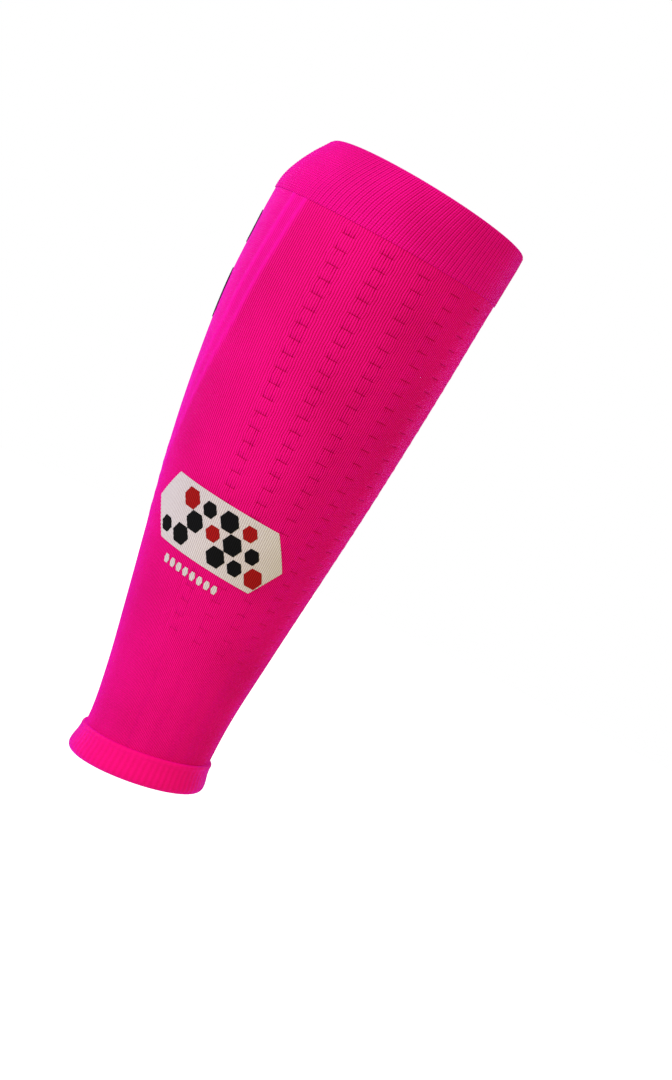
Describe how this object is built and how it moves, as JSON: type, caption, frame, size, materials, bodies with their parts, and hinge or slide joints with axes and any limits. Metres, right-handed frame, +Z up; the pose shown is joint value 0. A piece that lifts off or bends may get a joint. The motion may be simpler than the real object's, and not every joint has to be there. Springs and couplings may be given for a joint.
{
  "type": "calf compression sleeve",
  "caption": "Knitted calf compression sleeve in its worn form: a fine-ribbed tapering tube, a deep folded cuff below the knee and a narrow cuff over the ankle.",
  "frame": {"origin": "on the leg's axis at the calf's fullest level, 270 mm above the ankle rim, where the sleeve grips the leg", "axes": "+Z up the leg to the knee; -Y towards the shin, +Y towards the calf; -X towards the side with the emblem"},
  "size_m": [0.1184, 0.1288, 0.3304],
  "materials": {
    "ribbed_knit": "fine-ribbed elastic nylon knit, bright pink, matte with a faint sheen",
    "folded_cuff_knit": "ribbed double-layer elastic knit, bright pink, matte",
    "ankle_cuff_knit": "soft-ribbed double-layer elastic knit, bright pink, matte",
    "print_film": "thin flat heat-pressed film in off-white, black and dark red, satin"
  },
  "bodies": {
    "root": {"leg_tube": "ribbed_knit", "top_welt": "folded_cuff_knit", "ankle_welt": "ankle_cuff_knit"}
  },
  "joints": []
}
